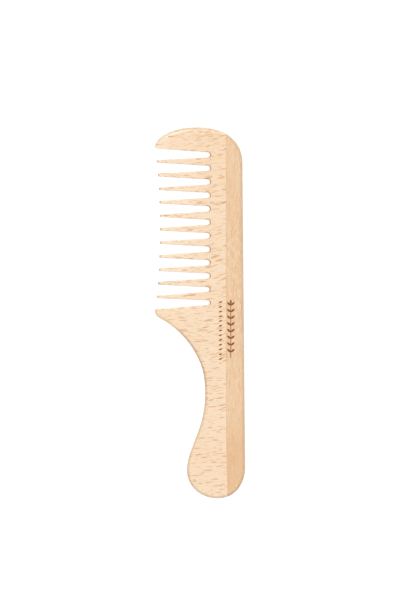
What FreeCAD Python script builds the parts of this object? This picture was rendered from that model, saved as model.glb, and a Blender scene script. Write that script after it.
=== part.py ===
import FreeCAD, Part
import math
import os
import Sketcher
from FreeCAD import Vector as V

# Wide tooth hair comb: a cross-grain board that carries eleven tapered teeth,
# two end guards and the inner half of the handle, glued along a hidden
# tongue-and-groove to a long-grain back strip. The two boards are glued up
# first and profiled together, so the blank is modelled as one body and then
# divided along the joint.
# Frame: the comb lies flat, head towards +Y, teeth towards -X, lower face z = 0.

doc = FreeCAD.newDocument("wide_tooth_comb")
sheet = doc.addObject("Spreadsheet::Sheet", "Sizes")
row = 1


def size(alias, value, note=""):
    """One driving dimension per row: note, value, alias."""
    global row
    sheet.set("A%d" % row, note or alias)
    sheet.set("B%d" % row, repr(value))
    sheet.setAlias("B%d" % row, alias)
    row += 1
    return value


T = size("thickness", 9.5, "thickness of the handle and back")
ROUND = size("edge_round", 1.85, "rounding of the outer edges")
EASE = size("gap_ease", 0.25, "easing of the tooth edges")
SINK = size("root_sink", 0.65, "width of the countersink round each gap root")
SINK_D = size("root_sink_depth", 0.8)
TAPER_X = size("taper_start_x", 1.5, "where the tooth faces begin to thin")
TAPER_R = size("taper_radius", 185.0, "radius of the thinning faces")
BACK_TOP_X = size("back_top_x", 22.84, "back edge, head end")
BACK_TOP_Y = size("back_top_y", 81.52)
BACK_LOW_X = size("back_low_x", 24.31, "back edge, butt end")
BACK_LOW_Y = size("back_low_y", -83.37)
TIP_CX = size("tip_line_centre_x", -407.7, "hollow line through the tooth tips")
TIP_CY = size("tip_line_centre_y", 45.0)
TIP_R = size("tip_line_radius", 386.0)
SEAM_X = size("seam_x", 14.03, "glue joint between the two boards")
SEAM_Y = size("seam_straight_y", -45.0, "the joint is straight above this")
SEAM_R = size("seam_bow_radius", 1625.0, "slight bow of the joint in the handle")
GLUE = size("glue_gap", 0.1, "glue line thickness")
TONGUE_D = size("tongue_depth", 3.0)
TONGUE_W = size("tongue_width", 3.2)
GROOVE_D = size("groove_depth", 3.2)
GROOVE_W = size("groove_width", 3.3)
BRAND_D = size("motif_depth", 0.25, "depth of the burnt leaf pattern")

# Outer outline as tangent arcs. Each entry: name, radius (0 = straight),
# turn (+1 left, -1 right, seen going clockwise), axis of the given end
# coordinate, its value, and the approximate end point.
HEAD = [  # from the top of the back edge over the head to the guard tip
    ("head_a", 17.283, "y", 95.737, (15.158, 95.737)),
    ("head_b", 24.322, "x", 4.503, (4.503, 99.667)),
    ("head_c", 52.372, "x", -9.615, (-9.615, 99.419)),
    ("head_d", 28.367, "x", -18.638, (-18.638, 96.417)),
    ("head_e", 14.341, None, None, (-23.690, 91.910)),
    ("head_f", 3.444, None, None, (-24.280, 89.560)),
]
GRIP = [  # from the bottom of the back edge round the butt and up the grip
    ("butt_a", 19.214, -1, "y", -92.930, (21.863, -92.930)),
    ("butt_b", 13.747, -1, "x", 12.035, (12.035, -99.789)),
    ("butt_c", 17.677, -1, "x", -0.820, (-0.820, -96.862)),
    ("butt_d", 14.570, -1, "y", -84.232, (-7.077, -84.232)),
    ("butt_e", 29.902, -1, "y", -74.984, (-5.168, -74.984)),
    ("grip_line", 0.0, 0, "y", -64.255, (-1.105, -64.255)),
    ("grip_a", 59.349, 1, "y", -33.849, (1.996, -33.849)),
    ("grip_b", 30.685, 1, "y", -27.402, (0.226, -27.402)),
    ("grip_c", 47.939, 1, None, None, (-21.95, -2.66)),
    ("guard_tip", 3.891, -1, None, None, (-24.09, 1.4)),
]
for name, rad, axis, val, _ in HEAD:
    size(name + "_radius", rad)
    if axis:
        size(name + "_end_" + axis, val)
for name, rad, turn, axis, val, _ in GRIP:
    if rad:
        size(name + "_radius", rad)
    if axis:
        size(name + "_end_" + axis, val)

# Twelve gaps between the teeth: centre and radius of the round root, and
# where the two flared walls stand on the line x = mouth_x, beyond the tips.
MOUTH_X = size("mouth_x", -27.0)
GAPS = [
    (3.93, 85.18, 1.44, 88.92, 82.12),
    (3.93, 77.93, 1.46, 81.25, 74.88),
    (3.92, 70.59, 1.47, 73.75, 67.36),
    (3.77, 63.38, 1.49, 66.48, 60.21),
    (3.74, 56.09, 1.49, 59.24, 52.69),
    (3.82, 48.84, 1.41, 52.05, 45.58),
    (3.74, 41.60, 1.52, 44.64, 38.28),
    (3.78, 34.32, 1.44, 37.51, 30.93),
    (3.74, 27.05, 1.44, 30.00, 23.67),
    (3.83, 19.89, 1.41, 22.73, 16.46),
    (3.80, 12.61, 1.30, 15.47, 9.07),
    (3.93, 5.44, 1.33, 8.09, 1.82),
]
for i, (cx, cy, r, yu, yl) in enumerate(GAPS, 1):
    size("gap%02d_root_x" % i, cx, "gap %d" % i)
    size("gap%02d_root_y" % i, cy)
    size("gap%02d_root_radius" % i, r)
    size("gap%02d_mouth_upper" % i, yu)
    size("gap%02d_mouth_lower" % i, yl)

# Burnt leaf sprig on the back strip and a column of seeds beside the joint.
LEAF_X = size("sprig_x", 16.55, "stem of the leaf sprig")
LEAF_TOP = size("sprig_top_y", 3.9, "foot of the first pair of leaves")
LEAF_PITCH = size("leaf_pitch", 3.6)
LEAF_COUNT = size("leaf_count", 8)
LEAF_SPAN = size("leaf_span", 2.05, "reach of a leaf from the stem")
LEAF_RISE = size("leaf_rise", 1.9)
LEAF_R = size("leaf_radius", 2.0)
BUD_L = size("bud_length", 2.7, "leaf at the top of the stem")
STEM_W = size("stem_width", 0.4)
STEM_L = size("stem_length", 29.2)
SEED_X = size("seed_x", 10.0, "column of seeds")
SEED_TOP = size("seed_top_y", 5.4)
SEED_SPAN = size("seed_span", 2.0)
SEED_RISE = size("seed_rise", 0.8)
SEED_R = size("seed_radius", 1.6)
SEED_PITCH = size("seed_pitch", 2.55)
SEED_COUNT = size("seed_count", 13)
doc.recompute()


def plane(body, role):
    return [o for o in body.Origin.OriginFeatures if o.Role == role][0]


def new_sketch(body, name, role="XY_Plane", lift=None):
    sk = body.newObject("Sketcher::SketchObject", name)
    sk.AttachmentSupport = (plane(body, role), [""])
    sk.MapMode = "FlatFace"
    if lift:
        sk.setExpression("AttachmentOffset.Base.z", lift)
    return sk


def bind(sk, kind, *args):
    """Add a dimension and drive it from the sheet: last argument is the expression."""
    expr, value = args[-1], args[-2]
    n = sk.addConstraint(Sketcher.Constraint(kind, *(args[:-2] + (value,))))
    sk.setExpression("Constraints[%d]" % n, expr)
    return n


def arc_through(p, q, r, turn):
    """Arc from p to q of radius r turning left (+1) or right (-1), minor part."""
    mx, my = (p[0] + q[0]) / 2, (p[1] + q[1]) / 2
    dx, dy = q[0] - p[0], q[1] - p[1]
    d = math.hypot(dx, dy)
    k = math.sqrt(max(r * r - d * d / 4, 0.0))
    nx, ny = -dy / d * turn, dx / d * turn
    c = (mx + nx * k, my + ny * k)
    a = math.atan2(p[1] - c[1], p[0] - c[0])
    b = math.atan2(q[1] - c[1], q[0] - c[0])
    if turn < 0:
        a, b = b, a
    if b < a:
        b += 2 * math.pi
    return Part.ArcOfCircle(Part.Circle(V(c[0], c[1], 0), V(0, 0, 1), r), a, b)


# The whole comb as one profiled blank
blank = doc.addObject("PartDesign::Body", "comb_blank")
blank.Label = "comb_blank"
outline = new_sketch(blank, "outer_outline")

back = outline.addGeometry(
    Part.LineSegment(V(BACK_TOP_X, BACK_TOP_Y, 0), V(BACK_LOW_X, BACK_LOW_Y, 0)), False)
bind(outline, "DistanceX", back, 1, BACK_TOP_X, "Sizes.back_top_x")
bind(outline, "DistanceY", back, 1, BACK_TOP_Y, "Sizes.back_top_y")
bind(outline, "DistanceX", back, 2, BACK_LOW_X, "Sizes.back_low_x")
outline.addConstraint(Sketcher.Constraint("DistanceY", back, 2, BACK_LOW_Y))
outline.setExpression("Constraints[%d]" % (outline.ConstraintCount - 1), "Sizes.back_low_y")

# head: anticlockwise from the top of the back edge
prev, prev_end, here = back, 1, (BACK_TOP_X, BACK_TOP_Y)
for name, rad, axis, val, end in HEAD:
    g = outline.addGeometry(arc_through(here, end, rad, 1), False)
    bind(outline, "Radius", g, rad, "Sizes.%s_radius" % name)
    outline.addConstraint(Sketcher.Constraint("Tangent", g, 1, prev, prev_end))
    if axis:
        bind(outline, "Distance" + axis.upper(), g, 2, val, "Sizes.%s_end_%s" % (name, axis))
    prev, prev_end, here = g, 2, end
head_tip, head_end = prev, here

# grip: clockwise from the bottom of the back edge
prev, prev_end, here = back, 2, (BACK_LOW_X, BACK_LOW_Y)
for name, rad, turn, axis, val, end in GRIP:
    if rad:
        g = outline.addGeometry(arc_through(here, end, rad, turn), False)
        first, last = (2, 1) if turn < 0 else (1, 2)
        bind(outline, "Radius", g, rad, "Sizes.%s_radius" % name)
    else:
        g = outline.addGeometry(Part.LineSegment(V(here[0], here[1], 0), V(end[0], end[1], 0)), False)
        first, last = 1, 2
    outline.addConstraint(Sketcher.Constraint("Tangent", g, first, prev, prev_end))
    if axis:
        bind(outline, "Distance" + axis.upper(), g, last, val, "Sizes.%s_end_%s" % (name, axis))
    prev, prev_end, here = g, last, end
guard_tip, guard_pos, guard_end = prev, prev_end, here

# hollow line through the tooth tips closes the outline
a0 = math.atan2(guard_end[1] - TIP_CY, guard_end[0] - TIP_CX)
a1 = math.atan2(head_end[1] - TIP_CY, head_end[0] - TIP_CX)
tips = outline.addGeometry(
    Part.ArcOfCircle(Part.Circle(V(TIP_CX, TIP_CY, 0), V(0, 0, 1), TIP_R), a0, a1), False)
bind(outline, "DistanceX", tips, 3, TIP_CX, "Sizes.tip_line_centre_x")
bind(outline, "DistanceY", tips, 3, TIP_CY, "Sizes.tip_line_centre_y")
bind(outline, "Radius", tips, TIP_R, "Sizes.tip_line_radius")
outline.addConstraint(Sketcher.Constraint("Tangent", tips, 1, guard_tip, guard_pos))
outline.addConstraint(Sketcher.Constraint("Tangent", tips, 2, head_tip, 2))
doc.recompute()

pad = blank.newObject("PartDesign::Pad", "board")
pad.Profile = outline
pad.setExpression("Length", "Sizes.thickness")
doc.recompute()
full_volume = pad.Shape.Volume

# The toothed side thins towards the tips in a long, shallow curve on both
# faces. Each cutter is the space outside a large cylinder about the Y axis.
TAPER_LOW = size("taper_low_y", -30.5, "the thinning runs out above the neck")
TAPER_HIGH = size("taper_high_y", 105.0)
doc.recompute()
last = pad
for side in ("upper", "lower"):
    sk = new_sketch(blank, side + "_taper_profile", "XZ_Plane")
    up = side == "upper"
    zf = T if up else 0.0
    xo = -30.0
    drop = TAPER_R - math.sqrt(TAPER_R ** 2 - (TAPER_X - xo) ** 2)
    zc = zf - TAPER_R if up else zf + TAPER_R
    ztip = zf - drop if up else zf + drop
    zout = zf + 3.0 if up else zf - 3.0
    sgn = 1 if up else -1
    a_face = sgn * math.pi / 2
    a_tip = math.atan2(ztip - zc, xo - TAPER_X)
    if up:
        arc = Part.ArcOfCircle(Part.Circle(V(TAPER_X, zc, 0), V(0, 0, 1), TAPER_R), a_face, a_tip)
        p_face, p_tip = 1, 2
    else:
        arc = Part.ArcOfCircle(Part.Circle(V(TAPER_X, zc, 0), V(0, 0, 1), TAPER_R), a_tip, a_face)
        p_face, p_tip = 2, 1
    g0 = sk.addGeometry(arc, False)
    g1 = sk.addGeometry(Part.LineSegment(V(xo, ztip, 0), V(xo, zout, 0)), False)
    g2 = sk.addGeometry(Part.LineSegment(V(xo, zout, 0), V(TAPER_X, zout, 0)), False)
    g3 = sk.addGeometry(Part.LineSegment(V(TAPER_X, zout, 0), V(TAPER_X, zf, 0)), False)
    sk.addConstraint(Sketcher.Constraint("Coincident", g0, p_tip, g1, 1))
    sk.addConstraint(Sketcher.Constraint("Coincident", g1, 2, g2, 1))
    sk.addConstraint(Sketcher.Constraint("Coincident", g2, 2, g3, 1))
    sk.addConstraint(Sketcher.Constraint("Coincident", g3, 2, g0, p_face))
    sk.addConstraint(Sketcher.Constraint("Vertical", g1))
    sk.addConstraint(Sketcher.Constraint("Horizontal", g2))
    sk.addConstraint(Sketcher.Constraint("Vertical", g3))
    bind(sk, "Radius", g0, TAPER_R, "Sizes.taper_radius")
    bind(sk, "DistanceX", g0, 3, TAPER_X, "Sizes.taper_start_x")
    bind(sk, "DistanceX", g3, 2, TAPER_X, "Sizes.taper_start_x")
    if up:
        bind(sk, "DistanceY", g3, 2, T, "Sizes.thickness")
    else:
        sk.addConstraint(Sketcher.Constraint("DistanceY", g3, 2, 0.0))
    sk.addConstraint(Sketcher.Constraint("DistanceX", g1, 1, xo))
    sk.addConstraint(Sketcher.Constraint("DistanceY", g2, 1, zout))
    doc.recompute()
    cut = blank.newObject("PartDesign::Pocket", side + "_taper")
    cut.Profile = sk
    cut.SideType = "Two sides"
    # the XZ plane faces -Y: one side reaches the head, the other the guard
    cut.setExpression("Length", "Sizes.taper_high_y")
    cut.setExpression("Length2", "-Sizes.taper_low_y")
    doc.recompute()
    before = last.Shape.Volume
    if cut.Shape.BoundBox.ZLength < 1 or before - cut.Shape.Volume < 100:
        raise SystemExit("taper %s removed %.1f" % (side, before - cut.Shape.Volume))
    last = cut


def curve_name(e):
    return type(e.Curve).__name__


def outer_edges(shape):
    """Edges of the outer outline, top and bottom (not the short upright ones)."""
    names = []
    for i, e in enumerate(shape.Edges, 1):
        bb = e.BoundBox
        faces = [f for f in shape.ancestorsOfType(e, Part.Face)]
        upright = [abs(f.normalAt(*f.Surface.parameter(e.valueAt((e.FirstParameter + e.LastParameter) / 2))).z)
                   for f in faces]
        if len(upright) == 2 and min(upright) < 0.3 and max(upright) > 0.9:
            names.append("Edge%d" % i)
    return names


fil = blank.newObject("PartDesign::Fillet", "outer_round")
fil.Base = (last, outer_edges(last.Shape))
fil.setExpression("Radius", "Sizes.edge_round")
doc.recompute()

# The gaps, one closed profile each
gap_sk = new_sketch(blank, "gap_profiles")
for i, (cx, cy, r, yu, yl) in enumerate(GAPS, 1):
    pre = "Sizes.gap%02d_" % i

    def touch(ym, s):
        ax, ay = MOUTH_X, ym
        vx, vy = cx - ax, cy - ay
        L = math.hypot(vx, vy)
        a = math.asin(r / L) * s
        tx = (vx * math.cos(a) - vy * math.sin(a)) / L
        ty = (vx * math.sin(a) + vy * math.cos(a)) / L
        m = math.sqrt(L * L - r * r)
        return ax + tx * m, ay + ty * m

    tu, tl = touch(yu, 1), touch(yl, -1)
    au = math.atan2(tu[1] - cy, tu[0] - cx)
    al = math.atan2(tl[1] - cy, tl[0] - cx)
    c = gap_sk.addGeometry(Part.ArcOfCircle(Part.Circle(V(cx, cy, 0), V(0, 0, 1), r), al, au), False)
    lu = gap_sk.addGeometry(Part.LineSegment(V(tu[0], tu[1], 0), V(MOUTH_X, yu, 0)), False)
    lm = gap_sk.addGeometry(Part.LineSegment(V(MOUTH_X, yu, 0), V(MOUTH_X, yl, 0)), False)
    ll = gap_sk.addGeometry(Part.LineSegment(V(MOUTH_X, yl, 0), V(tl[0], tl[1], 0)), False)
    gap_sk.addConstraint(Sketcher.Constraint("Tangent", c, 2, lu, 1))
    gap_sk.addConstraint(Sketcher.Constraint("Coincident", lu, 2, lm, 1))
    gap_sk.addConstraint(Sketcher.Constraint("Coincident", lm, 2, ll, 1))
    gap_sk.addConstraint(Sketcher.Constraint("Tangent", c, 1, ll, 2))
    bind(gap_sk, "DistanceX", c, 3, cx, pre + "root_x")
    bind(gap_sk, "DistanceY", c, 3, cy, pre + "root_y")
    bind(gap_sk, "Radius", c, r, pre + "root_radius")
    bind(gap_sk, "DistanceX", lu, 2, MOUTH_X, "Sizes.mouth_x")
    bind(gap_sk, "DistanceY", lu, 2, yu, pre + "mouth_upper")
    bind(gap_sk, "DistanceX", ll, 1, MOUTH_X, "Sizes.mouth_x")
    bind(gap_sk, "DistanceY", ll, 1, yl, pre + "mouth_lower")
doc.recompute()
gaps = blank.newObject("PartDesign::Pocket", "tooth_gaps")
gaps.Profile = gap_sk
gaps.Type = "Length"
gaps.Reversed = True
gaps.setExpression("Length", "Sizes.thickness + 1")
doc.recompute()


def gap_wall(f):
    """True for the flared walls and round roots of the gaps."""
    c = f.CenterOfMass
    if isinstance(f.Surface, Part.Plane):
        n = f.Surface.Axis
        return abs(n.z) < 1e-6 and abs(n.y) > 0.9 and -26 < c.x < 6 and 0 < c.y < 90
    if isinstance(f.Surface, Part.Cylinder):
        return abs(f.Surface.Axis.z) > 0.99 and f.Surface.Radius < 1.6
    return False


def gap_edges(shape):
    names = []
    for i, e in enumerate(shape.Edges, 1):
        walls = [gap_wall(f) for f in shape.ancestorsOfType(e, Part.Face)]
        if len(walls) == 2 and walls.count(True) == 1:
            names.append("Edge%d" % i)
    return names


ease = blank.newObject("PartDesign::Fillet", "gap_edges_eased")
ease.Base = (gaps, gap_edges(gaps.Shape))
ease.setExpression("Radius", "Sizes.gap_ease")
doc.recompute()
if len(gap_edges(gaps.Shape)) < 12 * 6:
    raise SystemExit("too few gap edges found")


# The round gap roots are drilled and lightly countersunk on both faces
base = ease
for side, lift in (("upper", "Sizes.thickness"), ("lower", None)):
    sk = new_sketch(blank, side + "_sink_circles", lift=lift)
    for n, (cx, cy, r, yu, yl) in enumerate(GAPS, 1):
        pre = "Sizes.gap%02d_" % n
        c = sk.addGeometry(Part.Circle(V(cx, cy, 0), V(0, 0, 1), r + SINK), False)
        bind(sk, "DistanceX", c, 3, cx, pre + "root_x")
        bind(sk, "DistanceY", c, 3, cy, pre + "root_y")
        bind(sk, "Radius", c, r + SINK, pre + "root_radius + Sizes.root_sink")
    doc.recompute()
    sink = blank.newObject("PartDesign::Pocket", side + "_countersinks")
    sink.Profile = sk
    sink.Reversed = side == "lower"
    sink.TaperAngle = -45.0
    sink.setExpression("Length", "Sizes.root_sink_depth")
    doc.recompute()
    gone = base.Shape.Volume - sink.Shape.Volume
    # half a ring of triangular section at each root, about 2 to 3 mm3 each
    if not 8.0 < gone < 45.0:
        raise SystemExit("%s countersinks removed %.2f" % (side, gone))
    base = sink
toothed = base


def leaf(sk, ax, ay, dx, dy, rad, rules):
    """Pointed leaf of two equal arcs from (ax, ay) to (ax + dx, ay + dy)."""
    p, q = (ax, ay), (ax + dx, ay + dy)
    g = sk.addGeometry(arc_through(p, q, rad, 1), False)
    k = sk.addGeometry(arc_through(q, p, rad, 1), False)
    sk.addConstraint(Sketcher.Constraint("Coincident", g, 2, k, 1))
    sk.addConstraint(Sketcher.Constraint("Coincident", k, 2, g, 1))
    for pos, (ex, ey), (vx, vy) in ((1, rules[0], p), (2, rules[1], q)):
        bind(sk, "DistanceX", g, pos, vx, ex)
        bind(sk, "DistanceY", g, pos, vy, ey)
    bind(sk, "Radius", g, rad, rules[2])
    sk.addConstraint(Sketcher.Constraint("Equal", g, k))


def burn(name, sk, base):
    doc.recompute()
    pocket = blank.newObject("PartDesign::Pocket", name)
    pocket.Profile = sk
    pocket.setExpression("Length", "Sizes.motif_depth")
    doc.recompute()
    gone = base.Shape.Volume - pocket.Shape.Volume
    if not 0.05 < gone < 30:
        raise SystemExit("%s removed %.2f" % (name, gone))
    return pocket


def repeat(name, feature, pitch, count):
    doc.recompute()
    pat = blank.newObject("PartDesign::LinearPattern", name)
    pat.Originals = [feature]
    pat.Direction = (plane(blank, "Y_Axis"), [""])
    pat.Reversed = True
    pat.Mode = "Spacing"
    pat.setExpression("Offset", pitch)
    pat.setExpression("Occurrences", count)
    blank.Tip = pat
    doc.recompute()
    return pat


# Leaf pattern, burnt a little way into the upper face
leaves = new_sketch(blank, "leaf_pair", lift="Sizes.thickness")
for sgn in (1, -1):
    sg = "+" if sgn > 0 else "-"
    leaf(leaves, LEAF_X, LEAF_TOP, sgn * LEAF_SPAN, LEAF_RISE, LEAF_R,
         (("Sizes.sprig_x", "Sizes.sprig_top_y"),
          ("Sizes.sprig_x %s Sizes.leaf_span" % sg, "Sizes.sprig_top_y + Sizes.leaf_rise"),
          "Sizes.leaf_radius"))
leaf_cut = burn("leaf_pair_burn", leaves, toothed)
sprig = repeat("leaf_row", leaf_cut, "Sizes.leaf_pitch", "Sizes.leaf_count")

bud_sk = new_sketch(blank, "bud", lift="Sizes.thickness")
leaf(bud_sk, LEAF_X, LEAF_TOP + 0.6, 0.0, BUD_L, LEAF_R,
     (("Sizes.sprig_x", "Sizes.sprig_top_y + 0.6"),
      ("Sizes.sprig_x", "Sizes.sprig_top_y + 0.6 + Sizes.bud_length"),
      "Sizes.leaf_radius"))
bud = burn("bud_burn", bud_sk, sprig)

stem_sk = new_sketch(blank, "stem", lift="Sizes.thickness")
x0, x1 = LEAF_X - STEM_W / 2, LEAF_X + STEM_W / 2
y1 = LEAF_TOP + 0.9
y0 = y1 - STEM_L
corners = [(x0, y0), (x1, y0), (x1, y1), (x0, y1)]
ids = [stem_sk.addGeometry(Part.LineSegment(V(*corners[k], 0), V(*corners[(k + 1) % 4], 0)), False)
       for k in range(4)]
for k in range(4):
    stem_sk.addConstraint(Sketcher.Constraint("Coincident", ids[k], 2, ids[(k + 1) % 4], 1))
    stem_sk.addConstraint(Sketcher.Constraint("Horizontal" if k % 2 == 0 else "Vertical", ids[k]))
bind(stem_sk, "DistanceX", ids[0], 1, x0, "Sizes.sprig_x - Sizes.stem_width / 2")
bind(stem_sk, "DistanceX", ids[0], 1, ids[0], 2, STEM_W, "Sizes.stem_width")
bind(stem_sk, "DistanceY", ids[2], 1, y1, "Sizes.sprig_top_y + 0.9")
bind(stem_sk, "DistanceY", ids[1], 1, ids[1], 2, STEM_L, "Sizes.stem_length")
stem = burn("stem_burn", stem_sk, bud)

seed_sk = new_sketch(blank, "seed", lift="Sizes.thickness")
leaf(seed_sk, SEED_X, SEED_TOP, SEED_SPAN, SEED_RISE, SEED_R,
     (("Sizes.seed_x", "Sizes.seed_top_y"),
      ("Sizes.seed_x + Sizes.seed_span", "Sizes.seed_top_y + Sizes.seed_rise"),
      "Sizes.seed_radius"))
seed = burn("seed_burn", seed_sk, stem)
seeds = repeat("seed_row", seed, "Sizes.seed_pitch", "Sizes.seed_count")


def side_body(name, side):
    """The half space on one side of the joint, as a thick plate."""
    body = doc.addObject("PartDesign::Body", name)
    body.Label = name
    left = side < 0
    sk = new_sketch(body, name + "_region", lift="-1")
    region(sk, side * GLUE / 2, "%s Sizes.glue_gap / 2" % ("-" if left else "+"),
           -60.0 if left else 60.0, None)
    doc.recompute()
    p = body.newObject("PartDesign::Pad", name + "_board")
    p.Profile = sk
    p.setExpression("Length", "Sizes.thickness + 2")
    doc.recompute()
    return body, p


def region(sk, shift, shift_expr, far_x, far_expr):
    """Closed region between the joint line moved by shift and x = far_x."""
    sx, r = SEAM_X + shift, SEAM_R - shift
    cx, cy = SEAM_X + SEAM_R, SEAM_Y
    ylow, yhigh = -115.0, 115.0
    xb = cx - math.sqrt(r * r - (ylow - cy) ** 2)
    fx = far_x if far_expr is None else sx + far_x
    top = sk.addGeometry(Part.LineSegment(V(sx, yhigh, 0), V(sx, SEAM_Y, 0)), False)
    bow = sk.addGeometry(Part.ArcOfCircle(
        Part.Circle(V(cx, cy, 0), V(0, 0, 1), r), math.pi, math.atan2(ylow - cy, xb - cx) + 2 * math.pi), False)
    low = sk.addGeometry(Part.LineSegment(V(xb, ylow, 0), V(fx, ylow, 0)), False)
    far = sk.addGeometry(Part.LineSegment(V(fx, ylow, 0), V(fx, yhigh, 0)), False)
    cap = sk.addGeometry(Part.LineSegment(V(fx, yhigh, 0), V(sx, yhigh, 0)), False)
    sk.addConstraint(Sketcher.Constraint("Tangent", top, 2, bow, 1))
    sk.addConstraint(Sketcher.Constraint("Coincident", bow, 2, low, 1))
    sk.addConstraint(Sketcher.Constraint("Coincident", low, 2, far, 1))
    sk.addConstraint(Sketcher.Constraint("Coincident", far, 2, cap, 1))
    sk.addConstraint(Sketcher.Constraint("Coincident", cap, 2, top, 1))
    sk.addConstraint(Sketcher.Constraint("Vertical", top))
    sk.addConstraint(Sketcher.Constraint("Vertical", far))
    sk.addConstraint(Sketcher.Constraint("Horizontal", low))
    sk.addConstraint(Sketcher.Constraint("Horizontal", cap))
    bind(sk, "DistanceX", top, 1, sx, "Sizes.seam_x " + shift_expr)
    bind(sk, "DistanceY", top, 2, SEAM_Y, "Sizes.seam_straight_y")
    bind(sk, "Radius", bow, r, "Sizes.seam_bow_radius - (0 %s)" % shift_expr)
    sk.addConstraint(Sketcher.Constraint("DistanceY", cap, 1, yhigh))
    sk.addConstraint(Sketcher.Constraint("DistanceY", low, 1, ylow))
    if far_expr is None:
        sk.addConstraint(Sketcher.Constraint("DistanceX", far, 1, fx))
    else:
        bind(sk, "DistanceX", far, 1, fx, far_expr)


plate_side, plate_board = side_body("plate_side", -1)
tongue_sk = new_sketch(plate_side, "tongue_region", lift="(Sizes.thickness - Sizes.tongue_width) / 2")
region(tongue_sk, TONGUE_D, "+ Sizes.tongue_depth", 0.0, None)
doc.recompute()
tongue = plate_side.newObject("PartDesign::Pad", "tongue")
tongue.Profile = tongue_sk
tongue.setExpression("Length", "Sizes.tongue_width")
doc.recompute()

spine_side, spine_board = side_body("spine_side", 1)
groove_sk = new_sketch(spine_side, "groove_region", lift="(Sizes.thickness - Sizes.groove_width) / 2")
region(groove_sk, GROOVE_D, "+ Sizes.groove_depth", 0.0, None)
doc.recompute()
groove = spine_side.newObject("PartDesign::Pocket", "groove")
groove.Profile = groove_sk
groove.Reversed = True
groove.setExpression("Length", "Sizes.groove_width")
doc.recompute()
if spine_board.Shape.Volume - groove.Shape.Volume < 1000:
    raise SystemExit("the groove cuts nothing")

# The three pieces of the comb, divided from the profiled blank
tooth_plate = doc.addObject("Part::Common", "tooth_plate")
tooth_plate.Label = "tooth_plate"
tooth_plate.Base, tooth_plate.Tool = blank, plate_side

back_spine = doc.addObject("Part::Common", "back_spine")
back_spine.Label = "back_spine"
back_spine.Base, back_spine.Tool = blank, spine_side

beyond_plate = doc.addObject("Part::Cut", "beyond_plate")
beyond_plate.Base, beyond_plate.Tool = blank, plate_side
glue_film = doc.addObject("Part::Cut", "glue_film")
glue_film.Label = "glue_film"
glue_film.Base, glue_film.Tool = beyond_plate, spine_side
doc.recompute()

pieces = [tooth_plate, back_spine, glue_film]
for piece in pieces:
    piece.Placement = FreeCAD.Placement(V(0, 0, 0), FreeCAD.Rotation())
doc.recompute()

bad = [o.Name for o in doc.Objects if "Invalid" in o.State or "Error" in o.State]
if bad:
    raise SystemExit("failed objects: " + ", ".join(bad))
for sk in [o for o in doc.Objects if o.TypeId == "Sketcher::SketchObject"]:
    if not sk.FullyConstrained:
        print("not fully constrained:", sk.Name)
os.makedirs("parts", exist_ok=True)
for piece in pieces:
    shape = piece.Shape
    if shape.isNull() or not shape.isValid() or len(shape.Solids) != 1:
        raise SystemExit("%s: null, invalid or not one solid" % piece.Label)
    box = shape.BoundBox
    print("%-12s %9.1f mm3  x %.2f..%.2f  y %.2f..%.2f  z %.2f..%.2f" % (
        piece.Label, shape.Volume, box.XMin, box.XMax, box.YMin, box.YMax, box.ZMin, box.ZMax))
for piece in pieces:
    piece.Shape.exportStep("parts/%s.step" % piece.Label)
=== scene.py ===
import math

import bpy
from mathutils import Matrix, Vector


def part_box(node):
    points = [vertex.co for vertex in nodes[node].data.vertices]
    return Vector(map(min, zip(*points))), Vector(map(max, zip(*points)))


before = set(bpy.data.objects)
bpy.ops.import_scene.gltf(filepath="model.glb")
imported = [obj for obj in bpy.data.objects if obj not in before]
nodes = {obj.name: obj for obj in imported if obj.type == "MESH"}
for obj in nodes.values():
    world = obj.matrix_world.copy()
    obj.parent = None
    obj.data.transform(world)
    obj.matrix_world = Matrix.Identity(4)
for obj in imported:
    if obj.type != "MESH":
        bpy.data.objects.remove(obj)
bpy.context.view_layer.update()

scene = bpy.context.scene
TOP = max(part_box("back_spine")[1].z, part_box("tooth_plate")[1].z)
TOP_MM = TOP * 1000.0


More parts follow.
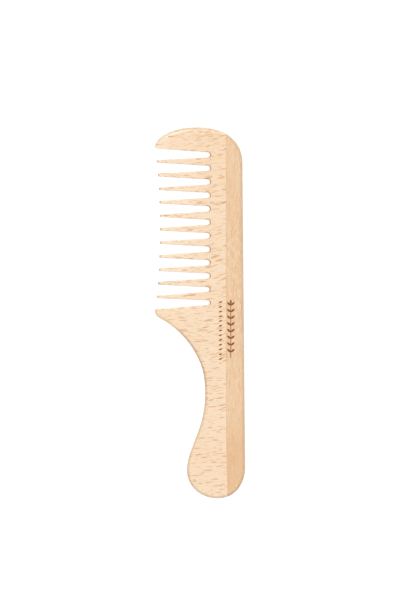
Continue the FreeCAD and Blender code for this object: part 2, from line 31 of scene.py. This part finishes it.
# ---------------------------------------------------------------- node helper
class Tree:
    """Short calls for building a shader from maths, noise and ramps."""

    def __init__(self, material):
        material.use_nodes = True
        self.t = material.node_tree
        self.t.nodes.clear()
        self.count = 0

    def node(self, kind, **props):
        n = self.t.nodes.new(kind)
        n.location = (220 * (self.count % 12), -200 * (self.count // 12))
        self.count += 1
        for k, v in props.items():
            setattr(n, k, v)
        return n

    def put(self, socket, value):
        if isinstance(value, bpy.types.NodeSocket):
            self.t.links.new(value, socket)
        elif hasattr(socket.default_value, "__len__"):
            if not hasattr(value, "__len__"):
                value = [value] * len(socket.default_value)
            if len(value) == 3 and len(socket.default_value) == 4:
                value = list(value) + [1.0]
            socket.default_value = value
        else:
            socket.default_value = value

    def m(self, op, a, b=None, c=None, clamp=False):
        n = self.node("ShaderNodeMath", operation=op, use_clamp=clamp)
        self.put(n.inputs[0], a)
        if b is not None:
            self.put(n.inputs[1], b)
        if c is not None:
            self.put(n.inputs[2], c)
        return n.outputs[0]

    def add(self, a, b):
        return self.m("ADD", a, b)

    def sub(self, a, b):
        return self.m("SUBTRACT", a, b)

    def mul(self, a, b):
        return self.m("MULTIPLY", a, b)

    def vm(self, op, a, b=None, scale=None):
        n = self.node("ShaderNodeVectorMath", operation=op)
        self.put(n.inputs[0], a)
        if b is not None:
            self.put(n.inputs[1], b)
        if scale is not None:
            self.put(n.inputs["Scale"], scale)
        return n.outputs[1] if op in ("LENGTH", "DISTANCE", "DOT_PRODUCT") else n.outputs[0]

    def sep(self, v):
        n = self.node("ShaderNodeSeparateXYZ")
        self.put(n.inputs[0], v)
        return n.outputs

    def com(self, x, y, z):
        n = self.node("ShaderNodeCombineXYZ")
        for s, v in zip(n.inputs, (x, y, z)):
            self.put(s, v)
        return n.outputs[0]

    def step(self, value, lo, hi, to=(0.0, 1.0)):
        """Smooth ramp of value from lo to hi."""
        n = self.node("ShaderNodeMapRange", interpolation_type="SMOOTHSTEP")
        self.put(n.inputs["Value"], value)
        n.inputs["From Min"].default_value = lo
        n.inputs["From Max"].default_value = hi
        n.inputs["To Min"].default_value = to[0]
        n.inputs["To Max"].default_value = to[1]
        return n.outputs[0]

    def noise(self, v, scale, detail=3.0, rough=0.55, kind="3D", distort=0.0):
        n = self.node("ShaderNodeTexNoise", noise_dimensions=kind)
        self.put(n.inputs["Vector"], v)
        n.inputs["Scale"].default_value = scale
        n.inputs["Detail"].default_value = detail
        n.inputs["Roughness"].default_value = rough
        n.inputs["Distortion"].default_value = distort
        return n.outputs["Fac"]

    def cells(self, v):
        n = self.node("ShaderNodeTexVoronoi", voronoi_dimensions="3D", feature="F1")
        self.put(n.inputs["Vector"], v)
        n.inputs["Scale"].default_value = 1.0
        n.inputs["Randomness"].default_value = 1.0
        return n.outputs["Position"], n.outputs["Color"]

    def mix(self, fac, a, b, blend="MIX"):
        n = self.node("ShaderNodeMix", data_type="RGBA", blend_type=blend)
        self.put(n.inputs[0], fac)
        self.put(n.inputs[6], a)
        self.put(n.inputs[7], b)
        return n.outputs[2]

    def ramp(self, fac, stops):
        n = self.node("ShaderNodeValToRGB")
        self.put(n.inputs[0], fac)
        e = n.color_ramp.elements
        while len(e) < len(stops):
            e.new(0.5)
        for k, (pos, col) in zip(e, stops):
            k.position = pos
            k.color = list(col) + [1.0]
        return n.outputs[0]


def srgb(r, g, b, gain=1.0):
    """Linear albedo for a colour wanted on film; the sheen of the oil adds some
    white on top, so green and blue are held back."""
    out = []
    for c, k in zip((r, g, b), (0.97, 0.94, 0.855)):
        c /= 255.0
        out.append((c / 12.92 if c <= 0.04045 else ((c + 0.055) / 1.055) ** 2.4) * gain * k)
    return out


GAIN = 0.68     # wood albedo against the colour wanted on film


def ray_flecks(t, along, across, through, cell, length, height, chance, seed, rows, soft=0.5):
    """Lens-shaped ray flecks: pointed ends, one at most in each random cell.
    along, across, through are distances in mm; returns a 0..1 mask and the cell's random colour."""
    cx, cy, cz = cell
    row = t.m("MULTIPLY_ADD", across, 1.0 / cy, seed * 1.7)
    # each row of cells is shifted along the grain, so that no columns show
    q = t.com(t.m("MULTIPLY_ADD", row, 0.413, t.m("MULTIPLY_ADD", along, 1.0 / cx, seed)),
              row,
              t.m("MULTIPLY_ADD", through, 1.0 / cz, seed * 0.6))
    pos, col = t.cells(q)
    d = t.sep(t.vm("SUBTRACT", q, pos))
    r = t.sep(col)
    dx = t.mul(t.m("MULTIPLY_ADD", d[1], -0.413, d[0]), cx)
    dy = t.mul(d[1], cy)
    lean = t.mul(t.sub(r[2], 0.5), 0.30)
    dy = t.sub(dy, t.mul(dx, lean))
    size = t.m("MULTIPLY_ADD", r[1], 0.75, 0.55)
    u = t.m("DIVIDE", t.m("ABSOLUTE", dx), t.mul(size, length / 2))
    v = t.m("DIVIDE", t.m("ABSOLUTE", dy), t.mul(size, height / 2))
    body = t.sub(t.sub(1.0, t.mul(u, u)), v)
    mask = t.step(body, -0.10, soft)
    luck = t.m("MULTIPLY_ADD", t.sub(rows, 0.5), 1.3, r[0])
    keep = t.step(luck, 1.0 - chance - 0.06, 1.0 - chance + 0.06)
    return t.mul(mask, keep), r


def wood(name, grain, base, dark, pale, fleck_col, end_and_shade_col, seed):
    """Beech. grain "X" or "Y" is the direction of the fibres on the object."""
    mat = bpy.data.materials.new(name)
    t = Tree(mat)
    coord = t.node("ShaderNodeTexCoord")
    mm = t.vm("SCALE", coord.outputs["Object"], scale=1000.0)
    x, y, z = t.sep(mm)
    nx, ny, nz = t.sep(coord.outputs["Normal"])
    if grain == "X":
        along, across, side_end = x, y, nx
        # the fibres fan: down to the right at the tips, up at the joint, level in the handle
        upper = t.step(y, -42.0, -12.0)
        fan = t.m("MULTIPLY_ADD", x, t.m("MULTIPLY_ADD", upper, 0.0026, 0.0020),
                  t.m("MULTIPLY_ADD", upper, 0.050, 0.030))
        drift = t.mul(x, fan)
    else:
        along, across, side_end = y, x, ny
        drift = t.mul(along, 0.004)
    wander = t.noise(t.com(t.mul(along, 0.055), t.mul(across, 0.07), t.mul(z, 0.03)), 1.0, 2.0, 0.5)
    across = t.sub(across, drift)
    across = t.m("MULTIPLY_ADD", t.sub(wander, 0.5), 3.6 if grain == "X" else 1.3, across)

    # broad tone of the board, growth bands and fine fibre
    broad = t.noise(t.com(t.mul(along, 0.03), t.mul(across, 0.07), t.mul(z, 0.03)), 1.0, 2.0, 0.5)
    band = t.noise(t.com(t.mul(along, 0.035), t.mul(across, 0.55), t.mul(z, 0.12)), 1.0, 3.0, 0.55)
    fibre = t.noise(t.com(t.mul(along, 0.22), t.mul(across, 2.6), t.mul(z, 1.2)), 1.0, 3.0, 0.6)
    pore = t.noise(t.com(t.mul(along, 1.1), t.mul(across, 7.0), t.mul(z, 7.0)), 1.0, 2.0, 0.6)
    mottle = t.noise(t.com(t.mul(along, 0.30), t.mul(across, 0.9), t.mul(z, 0.6)), 1.0, 3.0, 0.6)

    if grain == "X":
        parts = ((broad, 0.25), (band, 0.55), (fibre, 1.15), (pore, 0.75), (mottle, 0.25))
    else:
        streak = t.noise(t.com(t.mul(along, 0.62), t.mul(across, 1.7), t.mul(z, 1.2)), 1.0, 2.0, 0.6)
        parts = ((broad, 0.60), (band, 0.80), (fibre, 1.25), (streak, 1.35), (mottle, 0.80), (pore, 0.70))
    tone = 0.5
    for value, weight in parts:
        tone = t.m("ADD", t.mul(t.sub(value, 0.5), weight), tone, clamp=value is parts[-1][0])
    if grain == "Y":                     # the figure is calmer at the head
        middle = t.step(t.m("ABSOLUTE", t.add(y, 40.0)), 32.0, 12.0)
        calm = t.step(y, 35.0, 75.0, (0.95, 0.45))
        calm = t.mul(calm, t.m("MULTIPLY_ADD", middle, -0.25, 1.0))
        tone = t.m("MULTIPLY_ADD", t.sub(tone, 0.5), calm, t.m("MULTIPLY_ADD", middle, 0.09, 0.5))
    colour = t.ramp(tone, [(0.0, dark), (0.5, base), (1.0, pale)])

    if grain == "X":                     # the board is a little warmer at the head
        rim = t.m("MAXIMUM", t.step(t.m("ABSOLUTE", nz), 0.9995, 0.98), t.step(y, 95.5, 97.0))
        warm = t.mul(t.step(y, 55.0, 85.0), t.m("MULTIPLY_ADD", rim, -1.0, 1.0))
        colour = t.mix(warm, colour, t.mix(1.0, colour, (0.985, 0.962, 0.935), "MULTIPLY"))
        # the slender teeth are paler
        teeth = t.mul(t.step(x, 3.0, -10.0), t.mul(t.step(y, -1.0, 1.5), t.step(y, 91.0, 87.5)))
        colour = t.mix(teeth, colour, t.mix(1.0, colour, (1.024, 1.056, 1.095), "MULTIPLY"))

    # ray flecks, gathered into loose rows that follow the growth bands
    rows = t.noise(t.com(t.mul(along, 0.06), t.mul(across, 0.42), t.mul(z, 0.05)), 1.0, 2.0, 0.5)
    if grain == "X":
        # large soft flecks over the head and teeth, thin crisp ones down the handle
        head = t.step(y, -30.0, 0.0)
        big, rb = ray_flecks(t, along, across, z, (6.6, 2.4, 40.0), 4.9, 0.86, 0.38, seed, rows, 0.30)
        thin, rt = ray_flecks(t, along, across, z, (5.4, 1.25, 40.0), 4.9, 0.44, 0.48, seed + 7.3, rows, 0.26)
        tiny, _ = ray_flecks(t, along, across, z, (2.8, 0.95, 30.0), 2.3, 0.30, 0.34, seed + 3.1, rows, 0.40)
        big = t.mul(big, t.m("MULTIPLY_ADD", head, 0.70, 0.12))
        thin = t.mul(thin, t.m("MULTIPLY_ADD", head, -0.30, 1.0))
        big = t.mul(big, t.m("MULTIPLY_ADD", rb[2], 0.55, 0.45))
        thin = t.mul(thin, t.m("MULTIPLY_ADD", rt[2], 0.60, 0.45))
        tiny = t.mul(tiny, 0.34)
    else:
        big, rb = ray_flecks(t, along, across, z, (12.0, 2.2, 12.0), 9.0, 0.80, 0.24, seed, rows, 0.9)
        thin, rt = ray_flecks(t, along, across, z, (7.5, 1.0, 9.0), 5.5, 0.36, 0.40, seed + 5.9, rows, 0.6)
        tiny, _ = ray_flecks(t, along, across, z, (3.0, 0.60, 6.0), 2.2, 0.22, 0.45, seed + 2.2, rows, 0.6)
        big = t.mul(big, 0.55)
        thin = t.mul(thin, t.m("MULTIPLY_ADD", rt[2], 0.5, 0.3))
        tiny = t.mul(tiny, 0.40)
    flecks = t.m("MINIMUM", t.m("MAXIMUM", t.m("MAXIMUM", big, thin), tiny), 1.0)
    flat = t.step(t.m("ABSOLUTE", nz), 0.15, 0.8)
    flecks = t.mul(flecks, t.m("MULTIPLY_ADD", flat, 0.8, 0.2))
    colour = t.mix(flecks, colour, fleck_col)

    if grain == "Y":
        # the strip is a stronger tan beside the joint and towards the butt
        low = t.m("MAXIMUM", t.sub(-45.0, y), 0.0)
        seam = t.sub(x, t.m("MULTIPLY_ADD", t.mul(low, low), 1.0 / 3250.0, 14.03))
        near = t.step(seam, 2.6, 0.0)
        near = t.mul(near, t.step(fibre, 0.30, 0.68, (0.25, 0.85)))
        near = t.mul(near, t.step(y, -35.0, -75.0, (0.22, 1.0)))
        butt = t.step(y, -42.0, -78.0)
        tan = t.m("MAXIMUM", t.mul(near, 0.55), t.mul(butt, 0.52))
        colour = t.mix(tan, colour, [c * k for c, k in zip(base, (0.92, 0.80, 0.66))])
        colour = t.mix(t.step(y, 55.0, 80.0), colour, t.mix(1.0, colour, (1.006, 1.030, 1.045), "MULTIPLY"))

    # end grain drinks the oil and is browner, with painted shade added: strong in the drilled roots, faint on the
    # outer ends
    ends = t.m("ABSOLUTE", side_end)
    end_mask = t.step(ends, 0.30, 0.90)
    speck = t.noise(t.com(t.mul(x, 4.0), t.mul(y, 4.0), t.mul(z, 2.2)), 1.0, 3.0, 0.65)
    end_grain_and_shade_tint = t.mix(t.step(speck, 0.35, 0.65), end_and_shade_col, [c * 1.18 for c in end_and_shade_col])
    root = t.mul(t.step(x, 2.4, 3.2), t.step(x, 7.5, 6.8))
    root = t.mul(root, t.mul(t.step(y, 1.5, 2.5), t.step(y, 89.0, 88.0)))
    outer = t.step(y, 84.0, 88.0, (0.26, 0.08))
    colour = t.mix(t.mul(end_mask, t.m("MULTIPLY_ADD", root, 0.68, outer)), colour, end_grain_and_shade_tint)

    # painted shade: the rounded edges are painted a shade darker and warmer, unevenly, where they turn away from
    # the light
    rim_shade_mask = t.step(t.m("ABSOLUTE", nz), 0.80, 0.30)
    patch = t.noise(t.com(t.mul(x, 0.12), t.mul(y, 0.12), t.mul(z, 0.12)), 1.0, 2.0, 0.5)
    rim_shade_mask = t.mul(rim_shade_mask, t.step(patch, 0.25, 0.75, (0.20, 0.50)))
    colour = t.mix(rim_shade_mask, colour, [c * k for c, k in zip(base, (0.90, 0.83, 0.76))])

    if grain == "X":
        # painted shade: the turned rim of the finger hollow is painted darker and browner; the guard is left out
        up = t.m("ABSOLUTE", nz)
        turned = t.step(up, 0.985, 0.70)
        guard = t.mul(t.step(x, -8.0, -15.0), t.mul(t.step(y, -26.0, -18.0), t.step(y, 2.4, 1.0)))
        hollow_rim_shade = t.mul(t.step(x, 9.0, 5.0), t.mul(t.step(y, -50.0, -32.0), t.step(y, 2.4, 1.2)))
        hollow_rim_shade = t.mul(hollow_rim_shade, t.m("MULTIPLY_ADD", guard, -0.75, 1.0))
        colour = t.mix(t.mul(turned, hollow_rim_shade), colour,
                       t.mix(1.0, colour, (0.905, 0.820, 0.695), "MULTIPLY"))
        # painted light: the inner part of the guard's rounded edge is painted paler
        guard_rim_light = t.mul(t.mul(guard, t.step(up, 0.50, 0.80)), t.step(up, 0.994, 0.965))
        colour = t.mix(guard_rim_light, colour, t.mix(1.0, colour, (1.13, 1.10, 1.06), "MULTIPLY"))
        # painted light: the corners by the teeth at the head's tip are painted paler
        head_tip_light = t.mul(t.step(x, -14.0, -21.0), t.step(y, 84.0, 87.0))
        colour = t.mix(head_tip_light, colour, t.mix(1.0, colour, (1.02, 1.07, 1.14), "MULTIPLY"))
        head_tip_light = t.mul(t.step(x, -22.0, -23.4), t.step(y, 86.5, 88.0))
        colour = t.mix(head_tip_light, colour, t.mix(1.0, colour, (1.08, 1.10, 1.12), "MULTIPLY"))
        # painted shade on the underside of each tooth, which faces away from the light
        tooth_underside_shade = t.mul(t.step(ny, -0.25, -0.60), t.mul(t.step(x, 5.0, 2.0), t.mul(t.step(y, 1.0, 3.0), t.step(y, 91.0, 89.0))))
        colour = t.mix(tooth_underside_shade, colour, t.mix(1.0, colour, (0.93, 0.87, 0.81), "MULTIPLY"))

    # the pattern is burnt in: everything just below the flat face inside its panel
    depth = t.sub(TOP_MM, z)
    inside = t.mul(t.m("GREATER_THAN", x, 9.0), t.m("LESS_THAN", x, 20.0))
    inside = t.mul(inside, t.mul(t.m("GREATER_THAN", y, -27.5), t.m("LESS_THAN", y, 8.5)))
    burnt = t.mul(inside, t.step(depth, 0.01, 0.09))
    # heat has tanned the wood around the marks
    haze = t.mul(t.mul(t.step(x, 8.6, 10.4), t.step(x, 19.4, 17.8)),
                 t.mul(t.step(y, -27.5, -25.0), t.step(y, 8.5, 6.0)))
    colour = t.mix(haze, colour, t.mix(1.0, colour, (1.005, 0.978, 0.945), "MULTIPLY"))
    char = t.noise(t.com(t.mul(x, 2.4), t.mul(y, 2.4), t.mul(z, 2.4)), 1.0, 4.0, 0.65)
    burn_col = t.ramp(char, [(0.25, srgb(130, 72, 26, GAIN)), (0.55, srgb(156, 90, 36, GAIN)), (0.8, srgb(184, 116, 54, GAIN))])
    colour = t.mix(burnt, colour, burn_col)

    # surface: satin oil, open pores, slightly proud hard flecks, sanding marks
    rough = t.m("MULTIPLY_ADD", t.sub(fibre, 0.5), 0.22, 0.44)
    rough = t.sub(rough, t.mul(flecks, 0.08))
    rough = t.m("MULTIPLY_ADD", end_mask, 0.16, rough)
    rough = t.m("MULTIPLY_ADD", burnt, 0.22, rough)
    sand = t.noise(t.com(t.mul(along, 0.8), t.mul(across, 14.0), t.mul(z, 14.0)), 1.0, 2.0, 0.5)
    height = t.mul(t.sub(fibre, 0.5), 0.022)
    height = t.add(height, t.mul(t.sub(pore, 0.5), 0.022))
    height = t.add(height, t.mul(t.sub(sand, 0.5), 0.010))
    height = t.sub(height, t.mul(flecks, 0.012))
    # the rounded edges are rubbed smooth
    height = t.mul(height, t.step(t.m("ABSOLUTE", nz), 0.55, 0.985, (0.20, 1.0)))
    height = t.add(height, t.mul(t.mul(t.sub(char, 0.5), burnt), 0.10))
    bump = t.node("ShaderNodeBump")
    bump.inputs["Strength"].default_value = 0.5
    bump.inputs["Distance"].default_value = 0.001
    t.put(bump.inputs["Height"], height)

    out = t.node("ShaderNodeOutputMaterial")
    bsdf = t.node("ShaderNodeBsdfPrincipled")
    t.put(bsdf.inputs["Base Color"], colour)
    t.put(bsdf.inputs["Roughness"], rough)
    t.put(bsdf.inputs["Normal"], bump.outputs[0])
    bsdf.inputs["IOR"].default_value = 1.46
    bsdf.inputs["Specular IOR Level"].default_value = 0.35
    polish = t.step(t.m("ABSOLUTE", nz), 0.998, 0.95)
    coat = t.m("MULTIPLY_ADD", polish, 0.34, 0.38)
    # end grain soaks the oil up and stays matt, most of all in the drilled roots
    coat = t.mul(coat, t.m("MULTIPLY_ADD", t.mul(end_mask, t.m("MULTIPLY_ADD", root, 0.45, 0.45)), -1.0, 1.0))
    t.put(bsdf.inputs["Coat Weight"], t.m("MAXIMUM", t.m("MULTIPLY_ADD", burnt, -0.36, coat), 0.0))
    t.put(bsdf.inputs["Coat Roughness"], t.m("MULTIPLY_ADD", polish, -0.02, 0.20))
    t.t.links.new(bsdf.outputs[0], out.inputs[0])
    return mat


def dress(obj, mat):
    if obj.data.materials:
        obj.data.materials[0] = mat
    else:
        obj.data.materials.append(mat)


plate_mat = wood("beech_across", "X",
                 base=srgb(247, 222, 197, GAIN), dark=srgb(240, 205, 168, GAIN), pale=srgb(252, 233, 213, GAIN),
                 fleck_col=srgb(212, 147, 84, GAIN), end_and_shade_col=srgb(190, 138, 94, GAIN), seed=11.0)
spine_mat = wood("beech_along", "Y",
                 base=srgb(236, 201, 166.5, GAIN), dark=srgb(226, 177, 128, GAIN), pale=srgb(242, 217, 190, GAIN),
                 fleck_col=srgb(214, 158, 106, GAIN), end_and_shade_col=srgb(190, 138, 92, GAIN), seed=23.0)

glue_mat = bpy.data.materials.new("glue_line")
t = Tree(glue_mat)
coord = t.node("ShaderNodeTexCoord")
mm = t.vm("SCALE", coord.outputs["Object"], scale=1000.0)
g = t.noise(mm, 0.8, 3.0, 0.6)
bsdf = t.node("ShaderNodeBsdfPrincipled")
t.put(bsdf.inputs["Base Color"], t.ramp(g, [(0.3, srgb(204, 156, 112, GAIN)), (0.7, srgb(226, 184, 144, GAIN))]))
t.put(bsdf.inputs["Roughness"], t.m("MULTIPLY_ADD", g, 0.2, 0.35))
bump = t.node("ShaderNodeBump")
bump.inputs["Strength"].default_value = 0.4
bump.inputs["Distance"].default_value = 0.0002
t.put(bump.inputs["Height"], t.noise(mm, 5.0, 2.0, 0.5))
t.put(bsdf.inputs["Normal"], bump.outputs[0])
out = t.node("ShaderNodeOutputMaterial")
t.t.links.new(bsdf.outputs[0], out.inputs[0])

dress(nodes["tooth_plate"], plate_mat)
dress(nodes["back_spine"], spine_mat)
dress(nodes["glue_film"], glue_mat)

# ------------------------------------------------------------- floor and light
floor_mesh = bpy.data.meshes.new("floor")
floor_mesh.from_pydata([(-6, -6, 0), (6, -6, 0), (6, 6, 0), (-6, 6, 0)], [], [(0, 1, 2, 3)])
floor = bpy.data.objects.new("floor", floor_mesh)
floor.location.z = -0.00002
scene.collection.objects.link(floor)
floor_mat = bpy.data.materials.new("pale_floor")
t = Tree(floor_mat)
coord = t.node("ShaderNodeTexCoord")
bsdf = t.node("ShaderNodeBsdfPrincipled")
grainy = t.noise(coord.outputs["Object"], 900.0, 2.0, 0.5)
t.put(bsdf.inputs["Base Color"], t.ramp(grainy, [(0.3, (0.13, 0.13, 0.13)), (0.7, (0.16, 0.16, 0.16))]))
bsdf.inputs["Roughness"].default_value = 0.85
bsdf.inputs["Emission Color"].default_value = (1, 1, 1, 1)
bsdf.inputs["Emission Strength"].default_value = 0.95
out = t.node("ShaderNodeOutputMaterial")
t.t.links.new(bsdf.outputs[0], out.inputs[0])
floor_mesh.materials.append(floor_mat)

world = bpy.data.worlds.new("studio")
world.use_nodes = True
world.node_tree.nodes["Background"].inputs["Color"].default_value = (1.0, 1.0, 1.0, 1.0)
world.node_tree.nodes["Background"].inputs["Strength"].default_value = 0.53
scene.world = world


def softbox(name, azimuth, elevation, distance, size, energy, colour=(1, 1, 1)):
    """Area light aimed at the comb. Azimuth is counted from +Y towards -X."""
    a, e = math.radians(azimuth), math.radians(elevation)
    d = Vector((-math.sin(a) * math.cos(e), math.cos(a) * math.cos(e), math.sin(e)))
    data = bpy.data.lights.new(name, "AREA")
    data.shape = "RECTANGLE"
    data.size, data.size_y = size
    data.energy = energy
    data.color = colour
    obj = bpy.data.objects.new(name, data)
    scene.collection.objects.link(obj)
    obj.location = Vector((0.0, 0.01, TOP)) + d * distance
    obj.rotation_euler = d.to_track_quat("Z", "Y").to_euler()
    return obj


softbox("key", 32, 68, 4.5, (0.7, 0.7), 130.0)
softbox("front", -25, 30, 4.5, (1.0, 1.0), 46.0)
softbox("rear", 180, 70, 4.5, (2.2, 2.2), 54.0)
softbox("low", -150, 22, 4.5, (1.5, 1.5), 14.0)

# --------------------------------------------------------------------- camera
cam_data = bpy.data.cameras.new("camera")
cam_data.sensor_width = 36.0
cam_data.lens = 800.0
cam_data.clip_start = 0.1
cam_data.clip_end = 20.0
cam = bpy.data.objects.new("camera", cam_data)
scene.collection.objects.link(cam)
wall_top = TOP - 0.0018          # the outline is widest below the rounded edge
reach = 0.3218 * 800.0 / 36.0
cam.location = (-0.00004, 0.00774, wall_top + reach)
cam.rotation_euler = (0.0, 0.0, 0.0)
scene.camera = cam
scene.view_settings.view_transform = "Standard"
scene.view_settings.look = "None"
scene.view_settings.exposure = 0.0
scene.view_settings.gamma = 1.0

bpy.context.view_layer.update()
